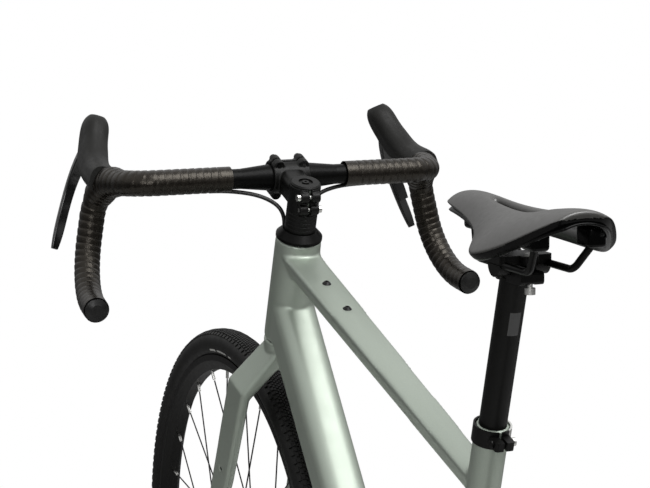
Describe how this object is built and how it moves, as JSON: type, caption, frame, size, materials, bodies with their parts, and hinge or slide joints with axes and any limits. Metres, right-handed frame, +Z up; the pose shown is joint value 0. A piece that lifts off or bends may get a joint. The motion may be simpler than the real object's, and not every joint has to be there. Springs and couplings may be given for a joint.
{
  "type": "gravel bike",
  "caption": "Drop-bar gravel bicycle with a slim sloping frame, disc brakes, a single chainring and knobbly tyres; it steers, rolls, pedals and brakes.",
  "frame": {"origin": "on the ground, midway between the two axles, in the plane of the wheels", "axes": "+X forwards, +Y to the rider's left, +Z up"},
  "size_m": [1.7358, 0.5094, 0.996],
  "materials": {
    "frame_paint": "satin metallic paint",
    "black_alloy": "black anodised",
    "bar_tape": "wrapped tape",
    "dark_plastic": "moulded",
    "lever_gloss": "glossy",
    "hood_rubber": "matt rubber",
    "hose_black": "hose jacket",
    "tyre_rubber": "tread rubber",
    "saddle_cover": "matt cover",
    "saddle_base": "glossy base",
    "black_steel": "black finish",
    "bright_steel": "steel"
  },
  "bodies": {
    "frame": {"head_tube": "frame_paint", "top_tube": "frame_paint", "down_tube": "frame_paint", "seat_tube": "frame_paint", "bottom_bracket_shell": "frame_paint", "bottom_bracket_cups": "black_alloy", "chainstays": "frame_paint", "seatstays": "frame_paint", "dropouts": "frame_paint", "seat_clamp": "black_alloy", "headset_bearings": "bright_steel", "frame_bolts": "bright_steel", "rear_caliper": "black_alloy", "rear_thru_axle": "black_alloy", "rear_brake_hose": "hose_black", "chain": "bright_steel", "derailleur_body": "black_alloy"},
    "steering": {"fork_crown": "frame_paint", "fork_blades": "frame_paint", "headset_cover": "black_alloy", "headset_spacers": "black_alloy", "stem": "black_alloy", "stem_faceplate": "black_alloy", "stem_bolts": "bright_steel", "steerer_top_cap": "black_alloy", "handlebar": "black_alloy", "bar_tape": "bar_tape", "bar_end_plugs": "dark_plastic", "lever_hoods": "hood_rubber", "front_caliper": "black_alloy", "front_thru_axle": "black_alloy", "front_hoses": "hose_black"},
    "lever_left": {"brake_lever_left": "lever_gloss"},
    "lever_right": {"brake_lever_right": "lever_gloss"},
    "paddle": {"shift_paddle_right": "dark_plastic"},
    "front_wheel": {"front_tyre": "tyre_rubber", "front_rim": "black_alloy", "front_spokes": "black_steel", "front_hub": "black_alloy", "front_rotor": "bright_steel"},
    "rear_wheel": {"rear_tyre": "tyre_rubber", "rear_rim": "black_alloy", "rear_spokes": "black_steel", "rear_hub": "black_alloy", "rear_rotor": "bright_steel"},
    "cassette_body": {"cassette": "bright_steel"},
    "crank": {"crank_arm_right": "black_alloy", "crank_arm_left": "black_alloy", "chainring": "black_alloy", "pedal_spindles": "bright_steel"},
    "pedal_body_left": {"pedal_left": "dark_plastic"},
    "pedal_body_right": {"pedal_right": "dark_plastic"},
    "cage": {"derailleur_cage": "black_alloy"},
    "guide_wheel": {"upper_pulley": "dark_plastic"},
    "tension_wheel": {"lower_pulley": "dark_plastic"},
    "post": {"seatpost": "black_alloy"},
    "clamp_head": {"saddle_clamp": "black_alloy"},
    "saddle": {"saddle_pad": "saddle_cover", "saddle_shell": "saddle_base", "saddle_rails": "black_steel"}
  },
  "joints": [
    {"name": "steering_turn", "type": "hinge", "parent": "frame", "child": "steering", "pos_m": [0.32826, 0, 0.72861], "axis": [-0.3346, 0, 0.9423], "range_deg": [-60, 60]},
    {"name": "front_wheel_spin", "type": "hinge", "parent": "steering", "child": "front_wheel", "pos_m": [0.517, 0, 0.351], "axis": [0, 1, 0], "continuous": true},
    {"name": "rear_wheel_spin", "type": "hinge", "parent": "frame", "child": "rear_wheel", "pos_m": [-0.517, 0, 0.351], "axis": [0, 1, 0], "continuous": true},
    {"name": "crank_spin", "type": "hinge", "parent": "frame", "child": "crank", "pos_m": [-0.09274, 0, 0.281], "axis": [0, 1, 0], "continuous": true, "deforming": ["chain"]},
    {"name": "cassette_spin", "type": "hinge", "parent": "frame", "child": "cassette_body", "pos_m": [-0.517, 0, 0.351], "axis": [0, 1, 0], "continuous": true},
    {"name": "pedal_left_spin", "type": "hinge", "parent": "crank", "child": "pedal_body_left", "pos_m": [-0.26524, 0, 0.281], "axis": [0, 1, 0], "continuous": true},
    {"name": "pedal_right_spin", "type": "hinge", "parent": "crank", "child": "pedal_body_right", "pos_m": [0.07976, 0, 0.281], "axis": [0, 1, 0], "continuous": true},
    {"name": "cage_swing", "type": "hinge", "parent": "frame", "child": "cage", "pos_m": [-0.504, -0.044, 0.269], "axis": [0, 1, 0], "range_deg": [-30, 25], "stiffness_Nm_per_rad": 2, "deforming": ["chain"]},
    {"name": "guide_pulley_spin", "type": "hinge", "parent": "cage", "child": "guide_wheel", "pos_m": [-0.504, -0.044, 0.269], "axis": [0, 1, 0], "continuous": true},
    {"name": "tension_pulley_spin", "type": "hinge", "parent": "cage", "child": "tension_wheel", "pos_m": [-0.45311, -0.044, 0.19116], "axis": [0, 1, 0], "continuous": true},
    {"name": "brake_lever_left_pull", "type": "hinge", "parent": "steering", "child": "lever_left", "pos_m": [0.47916, 0.19961, 0.95557], "axis": [0, 0.9455, 0.3256], "range_deg": [0, 22], "stiffness_Nm_per_rad": 1.5, "springref_deg": -11.46},
    {"name": "brake_lever_right_pull", "type": "hinge", "parent": "steering", "child": "lever_right", "pos_m": [0.47916, -0.19961, 0.95557], "axis": [0, 0.9455, -0.3256], "range_deg": [0, 22], "stiffness_Nm_per_rad": 1.5, "springref_deg": -11.46},
    {"name": "shift_paddle_push", "type": "hinge", "parent": "lever_right", "child": "paddle", "pos_m": [0.49511, -0.21716, 0.90461], "axis": [1, 0, 0], "range_deg": [0, 14], "stiffness_Nm_per_rad": 0.3, "springref_deg": -11.46},
    {"name": "seatpost_height", "type": "slide", "parent": "frame", "child": "post", "axis": [-0.2798, 0, 0.96], "range_m": [-0.12, 0.02]},
    {"name": "saddle_tilt", "type": "hinge", "parent": "post", "child": "clamp_head", "pos_m": [-0.27962, 0, 0.905], "axis": [0, 1, 0], "range_deg": [-5, 5]},
    {"name": "saddle_setback", "type": "slide", "parent": "clamp_head", "child": "saddle", "axis": [1, 0, 0], "range_m": [-0.015, 0.015]}
  ],
  "couplings": [
    {"joint": "cassette_spin", "follows": "crank_spin", "ratio": 1.9048},
    {"joint": "guide_pulley_spin", "follows": "crank_spin", "ratio": -3.3333},
    {"joint": "tension_pulley_spin", "follows": "crank_spin", "ratio": 3.3333}
  ]
}
